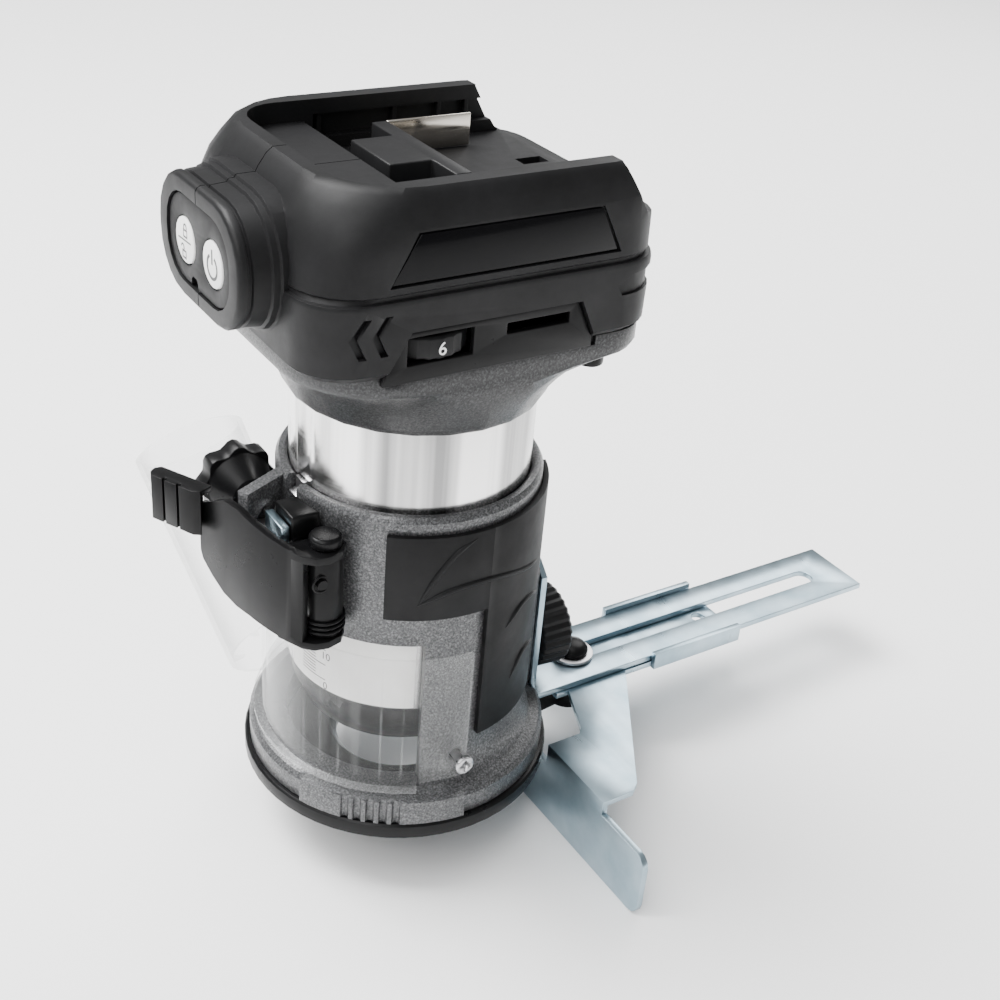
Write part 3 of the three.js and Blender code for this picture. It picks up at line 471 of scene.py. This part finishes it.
white_paint, nodes, links, shader = new_material("white_print")
shader.inputs["Roughness"].default_value = 0.4
dust = object_pattern(nodes, links, "ShaderNodeTexNoise", Scale=700, Detail=3)
tone(nodes, links, dust.outputs["Fac"], [(0.3, (0.8, 0.8, 0.79)), (0.7, (0.92, 0.92, 0.91))],
     shader.inputs["Base Color"])
DIAL_X = -16.5
DIAL_Y = -28.0
DIAL_R = 11.6
for number in range(1, 7):
    turn = math.radians(-90 + (number - 6) * 50)
    side = Vector((math.cos(turn), math.sin(turn), 0))
    foot = at(DIAL_X + side.x * (DIAL_R + 0.02), DIAL_Y + side.y * (DIAL_R + 0.02), 147.5)
    lettered(f"dial_number_{number}", str(number), 4.6, foot, (-side.y, side.x, 0), (0, 0, 1),
             0.12, white_paint, "dial")

# ---------------------------------------------------------------- battery shoe
# A black contact block stands on the floor of the slot between two bright nickel blades, which
# push into the battery as it slides home between the rails.
nickel = brushed_metal("bright_nickel", (0.66, 0.6, 0.52), (0.82, 0.78, 0.71), (0.08, 0.2),
                       (1, 1, 20))
dressed("contact_block", 0.4, black_plastic)
for node in ("contact_blade_front", "contact_blade_rear"):
    dressed(node, 0.2, nickel)

# ---------------------------------------------------------------- switch pod
# A soft membrane pad sits in the bezel of the pod. Its two white buttons bend in by less than
# a millimetre; one carries a lock and unlock sign, and the other the on and off sign.
pad_rubber = moulded("membrane_pad", (0.006, 0.006, 0.0063), (0.011, 0.011, 0.0116), (0.42, 0.55),
                     grain=3500, depth=0.000012)
pad = dressed("switch_pad", 0.3, pad_rubber)
NOTCH_OUTLINE = [(5, 153), (4.8, 155.2), (4, 156), (2, 156), (1.2, 155.2), (1, 153)]
notch = [at(-60, y, z) for y, z in NOTCH_OUTLINE]
carve(pad, [outline_body("notch_cut", notch, (4 * MM, 0, 0))])
smooth(pad)
button_white = moulded("button_white", (0.84, 0.84, 0.83), (0.9, 0.9, 0.89), (0.3, 0.42),
                       grain=2000, depth=0.000006)
for node in ("power_button", "lock_button"):
    dressed(node, 0.35, button_white)

BUTTON_FACE = -58.4
BUTTON_Y = 8.0
BUTTON_Z = 163.4


def printed_line(name, points, width, body, button_y):
    """A line printed on a button: points are millimetres right and up as a person sees it."""
    closed = points[0] == points[-1]
    run = points[:-1] if closed else points
    left = []
    right = []
    for index, (x, y) in enumerate(run):
        before = run[index - 1] if index or closed else run[index]
        after = run[(index + 1) % len(run)] if closed or index + 1 < len(run) else run[index]
        along = Vector((after[0] - before[0], after[1] - before[1])).normalized()
        side = Vector((-along.y, along.x)) * width / 2
        left.append((x + side.x, y + side.y))
        right.append((x - side.x, y - side.y))
    vertices = [at(BUTTON_FACE - 0.02, button_y - u, BUTTON_Z + v) for u, v in left + right]
    count = len(run)
    steps = range(count if closed else count - 1)
    faces = [(i, (i + 1) % count, count + (i + 1) % count, count + i) for i in steps]
    mesh = bpy.data.meshes.new(name)
    mesh.from_pydata([tuple(v) for v in vertices], [], faces)
    piece = bpy.data.objects.new(name, mesh)
    bpy.context.scene.collection.objects.link(piece)
    apply_modifier(piece, "SOLIDIFY", thickness=0.04 * MM, offset=0)
    only(piece)
    bpy.ops.object.mode_set(mode="EDIT")
    bpy.ops.mesh.select_all(action="SELECT")
    bpy.ops.mesh.normals_make_consistent(inside=False)
    bpy.ops.object.mode_set(mode="OBJECT")
    settle(piece, body, ink)


def arc(centre, radius, start, stop, steps=24):
    turns = [math.radians(start + (stop - start) * i / steps) for i in range(steps + 1)]
    return [(centre[0] + radius * math.cos(t), centre[1] + radius * math.sin(t)) for t in turns]


printed_line("power_sign_ring", arc((0, -0.6), 2.7, 118, 422), 0.75, "power_button", -BUTTON_Y)
printed_line("power_sign_bar", [(0, 0), (0, 3.6)], 0.75, "power_button", -BUTTON_Y)
printed_line("lock_divider", [(-3.7, -0.2), (3.7, 0.2)], 0.4, "lock_button", BUTTON_Y)
for sign, foot, open_turn in (("locked", (0.5, 0.9), 0), ("unlocked", (-0.3, -4.3), 1)):
    x, y = foot
    square = [(x - 1, y), (x + 1, y), (x + 1, y + 1.6), (x - 1, y + 1.6), (x - 1, y)]
    printed_line(f"{sign}_sign_case", square, 0.55, "lock_button", BUTTON_Y)
    bow = arc((x - 0.9 * open_turn, y + 2.3), 0.75, 0, 180, 10)
    bow = [(bow[0][0], y + 1.6)] + bow + ([] if open_turn else [(bow[-1][0], y + 1.6)])
    printed_line(f"{sign}_sign_bow", bow, 0.42, "lock_button", BUTTON_Y)

# ---------------------------------------------------------------- base
# The base is one casting in the same hammered enamel: a split sleeve, clamp lugs and a broad
# ring, screwed down on a round black sole plate.
dressed("base_casting", 0.45, hammered_grey, 30)
dressed("sole_plate", 0.3, smooth_black)
for count in (1, 2, 3):
    dressed(f"sole_screw_{count}", 0.15, machined_steel)

# ---------------------------------------------------------------- grips
# Soft rubber mouldings stuck on both flanks of the sleeve. Long raised lines sweep across each
# one from its front edge towards the guide.
grip_rubber = moulded("grip_rubber", (0.004, 0.004, 0.0043), (0.008, 0.008, 0.0085), (0.44, 0.6),
                      grain=1600, depth=0.00002)
GRIP_R = 37.8


def grip_line(name, places, side):
    """A raised line through (azimuth, height) places, rounded by a curve through them."""
    curve = bpy.data.curves.new(name, "CURVE")
    curve.dimensions = "3D"
    curve.bevel_depth = 0.85 * MM
    curve.bevel_resolution = 2
    curve.use_fill_caps = True
    spline = curve.splines.new("NURBS")
    spline.points.add(len(places) - 1)
    for index, (point, (azimuth, height)) in enumerate(zip(spline.points, places)):
        turn = math.radians(azimuth * side)
        radius = GRIP_R - 0.14
        point.co = (*at(radius * math.cos(turn), radius * math.sin(turn), height), 1)
        point.radius = 0.25 if index in (0, len(places) - 1) else 1
    spline.order_u = 3
    spline.use_endpoint_u = True
    spline.resolution_u = 10
    piece = bpy.data.objects.new(name, curve)
    bpy.context.scene.collection.objects.link(piece)
    only(piece)
    bpy.ops.object.convert(target="MESH")
    piece = bpy.context.object
    smooth(piece, 60)
    settle(piece, "base", grip_rubber)


SWEEPS = {
    "upper": [(115, 74.2), (108, 76.8), (100, 78.6), (92, 79.2), (84, 79), (75, 78), (64, 76),
              (54, 74.4), (40, 72)],
    "rising": [(114.5, 74.6), (111, 79.2), (107, 84), (102, 88.4), (98, 91), (92, 92.8)],
    "middle": [(73, 59.8), (69, 62.4), (64, 64.4), (57, 64.6), (49, 62.6), (38, 59)],
    "lower": [(66.5, 40.4), (63, 43.6), (59.5, 46.2), (54, 46.4), (48, 45.2), (38, 42)],
}
for node, side in (("front_grip", -1), ("rear_grip", 1)):
    dressed(node, 0.6, grip_rubber)
    for word, places in SWEEPS.items():
        grip_line(f"{node}_line_{word}", places, side)

# ---------------------------------------------------------------- chip deflector
# A clear polycarbonate shield round the window of the sleeve, held by a screw on each side. A
# slanted pipe on its back takes a dust hose.
clear, nodes, links, shader = new_material("clear_polycarbonate")
shader.inputs["Base Color"].default_value = (0.7, 0.71, 0.71, 1)
shader.inputs["IOR"].default_value = 1.55
shader.inputs["Roughness"].default_value = 0.05
rim = nodes.new("ShaderNodeLayerWeight")
rim.inputs["Blend"].default_value = 0.3
spread(nodes, links, rim.outputs["Facing"], 0.03, 0.62, shader.inputs["Alpha"], 0.2, 0.97)
ripple = object_pattern(nodes, links, "ShaderNodeTexNoise", Scale=40, Detail=3)
relief(nodes, links, ripple.outputs["Fac"], shader, 0.0004, 0.2)
dressed("chip_deflector", 0.25, clear, 30)
DEFLECTOR_SCREW_X = -2.2
DEFLECTOR_SCREW_Z = 21.0
SHIELD_R = 39.8
BOSS_R = 6.4
for flank, node in ((-1, "deflector_screw_front"), (1, "deflector_screw_rear")):
    screw = dressed(node, 0.4, machined_steel)
    slots = []
    for wide, high in ((1.7, 0.35), (0.35, 1.7)):
        corners = [at(DEFLECTOR_SCREW_X + x * wide, flank * 41, DEFLECTOR_SCREW_Z + z * high)
                   for x, z in ((-1, -1), (1, -1), (1, 1), (-1, 1))]
        slots.append(outline_body("cross_cut", corners, (0, flank * 2 * MM, 0)))
    carve(screw, slots)
    smooth(screw)
    boss = []
    for step in range(13):
        turn = math.radians(100 + 95 * step / 12)
        x = DEFLECTOR_SCREW_X + BOSS_R * math.cos(turn)
        reach = math.sqrt(SHIELD_R ** 2 - x ** 2)
        boss.append(at(x, flank * reach, DEFLECTOR_SCREW_Z + BOSS_R * math.sin(turn)))
    bead = swept(f"{node}_boss_line", boss, 0.3)
    smooth(bead, 60)
    settle(bead, "base", clear)

# ---------------------------------------------------------------- clamp and height drive
# A blacked pressed-steel lever folds round a pin on the sleeve and draws the split shut with a
# bolt. Behind it a lobed knob turns the pinion that raises the motor on its rack.
dressed("clamp_lever", 0.35, black_steel, 30)
dressed("lever_pivot_pin", 0.3, black_steel)
dressed("pivot_barrel", 0.3, black_steel)
PIN_X = -36.0
PIN_Y = -21.6
COIL_R = 5.15
COIL_LOW = 66.2
COIL_PITCH = 1.5
COIL_TURNS = 3
COIL_STEPS = 20
coil = []
for step in range(COIL_TURNS * COIL_STEPS + 1):
    turn = math.tau * step / COIL_STEPS
    rise = COIL_LOW + COIL_PITCH * step / COIL_STEPS
    coil.append(at(PIN_X + COIL_R * math.cos(turn), PIN_Y + COIL_R * math.sin(turn), rise))
STUB_X = -38.9
STUB_Z = 82.6
ring = []
for step in range(24):
    turn = math.tau * step / 24
    ring.append(at(STUB_X + 2.3 * math.cos(turn), PIN_Y - 4.1, STUB_Z + 2.3 * math.sin(turn)))
stub = [at(STUB_X, PIN_Y - 2.5, STUB_Z), at(STUB_X, PIN_Y - 4.9, STUB_Z)]
for name, run, radius, closed in (("return_spring", coil, 0.42, False),
                                  ("barrel_collar", ring, 0.35, True),
                                  ("barrel_stub", stub, 1.4, False)):
    detail = swept(name, run, radius, closed)
    smooth(detail, 45)
    settle(detail, "base", black_steel)
dressed("finger_pad", 0.7, smooth_black)
dressed("lug_block", 0.6, smooth_black)
zinc = brushed_metal("zinc_plate", (0.27, 0.37, 0.43), (0.45, 0.55, 0.61), (0.27, 0.36), (6, 1, 1),
                     scale=40, depth=0.000002)
dressed("lug_plate", 0.3, zinc)
dressed("clamp_nut", 0.3, zinc)
dressed("clamp_bolt", 0.3, machined_steel)
dressed("height_pinion", 0.1, machined_steel)
dressed("depth_rack", 0.1, machined_steel)
dressed("height_knob", 0.5, smooth_black)

# ---------------------------------------------------------------- edge guide
# Two pressings of bright zinc-plated steel. The slotted arm is clamped to the base by a knurled
# knob, and the fence slides along it, held by a carriage bolt and a wing nut.
for node in ("guide_arm", "edge_fence"):
    dressed(node, 0.4, zinc)
dressed("guide_clamp_stud", 0.2, machined_steel)
dressed("fence_washer", 0.15, machined_steel)
dressed("fence_bolt", 0.3, black_steel)
dressed("guide_clamp_knob", 0.25, black_plastic, 25)
dressed("fence_wing_nut", 0.6, smooth_black)

# ---------------------------------------------------------------- floor and light
# A plain pale floor under soft studio boxes, with an even pale surround.
bpy.ops.mesh.primitive_plane_add(size=8)
floor = bpy.context.object
floor.name = "floor"
paper, nodes, links, shader = new_material("pale_paper")
shader.inputs["Base Color"].default_value = (0.9, 0.9, 0.9, 1)
shader.inputs["Roughness"].default_value = 0.85
floor.data.materials.append(paper)

world = bpy.data.worlds.new("studio")
world.use_nodes = True
world.node_tree.nodes["Background"].inputs["Color"].default_value = (1, 1, 1, 1)
world.node_tree.nodes["Background"].inputs["Strength"].default_value = 0.42
bpy.context.scene.world = world


def softbox(name, place, size, power):
    bpy.ops.object.light_add(type="AREA", location=place)
    light = bpy.context.object
    light.name = name
    light.data.size = size
    light.data.energy = power
    light.rotation_euler = (at(0, 0, 100) - Vector(place)).to_track_quat("-Z", "Y").to_euler()


softbox("key_light", (-0.5, 0.45, 1.2), 0.7, 38)
softbox("fill_light", (-0.9, -0.7, 0.9), 0.5, 6)
softbox("back_light", (0.9, 0.6, 0.9), 0.7, 9)
bpy.ops.object.light_add(type="SUN", location=(0, 0, 2))
overhead = bpy.context.object
overhead.name = "overhead_light"
overhead.data.energy = 4.4
overhead.data.angle = math.radians(70)
overhead.rotation_euler = (math.radians(-8), math.radians(-24), 0)
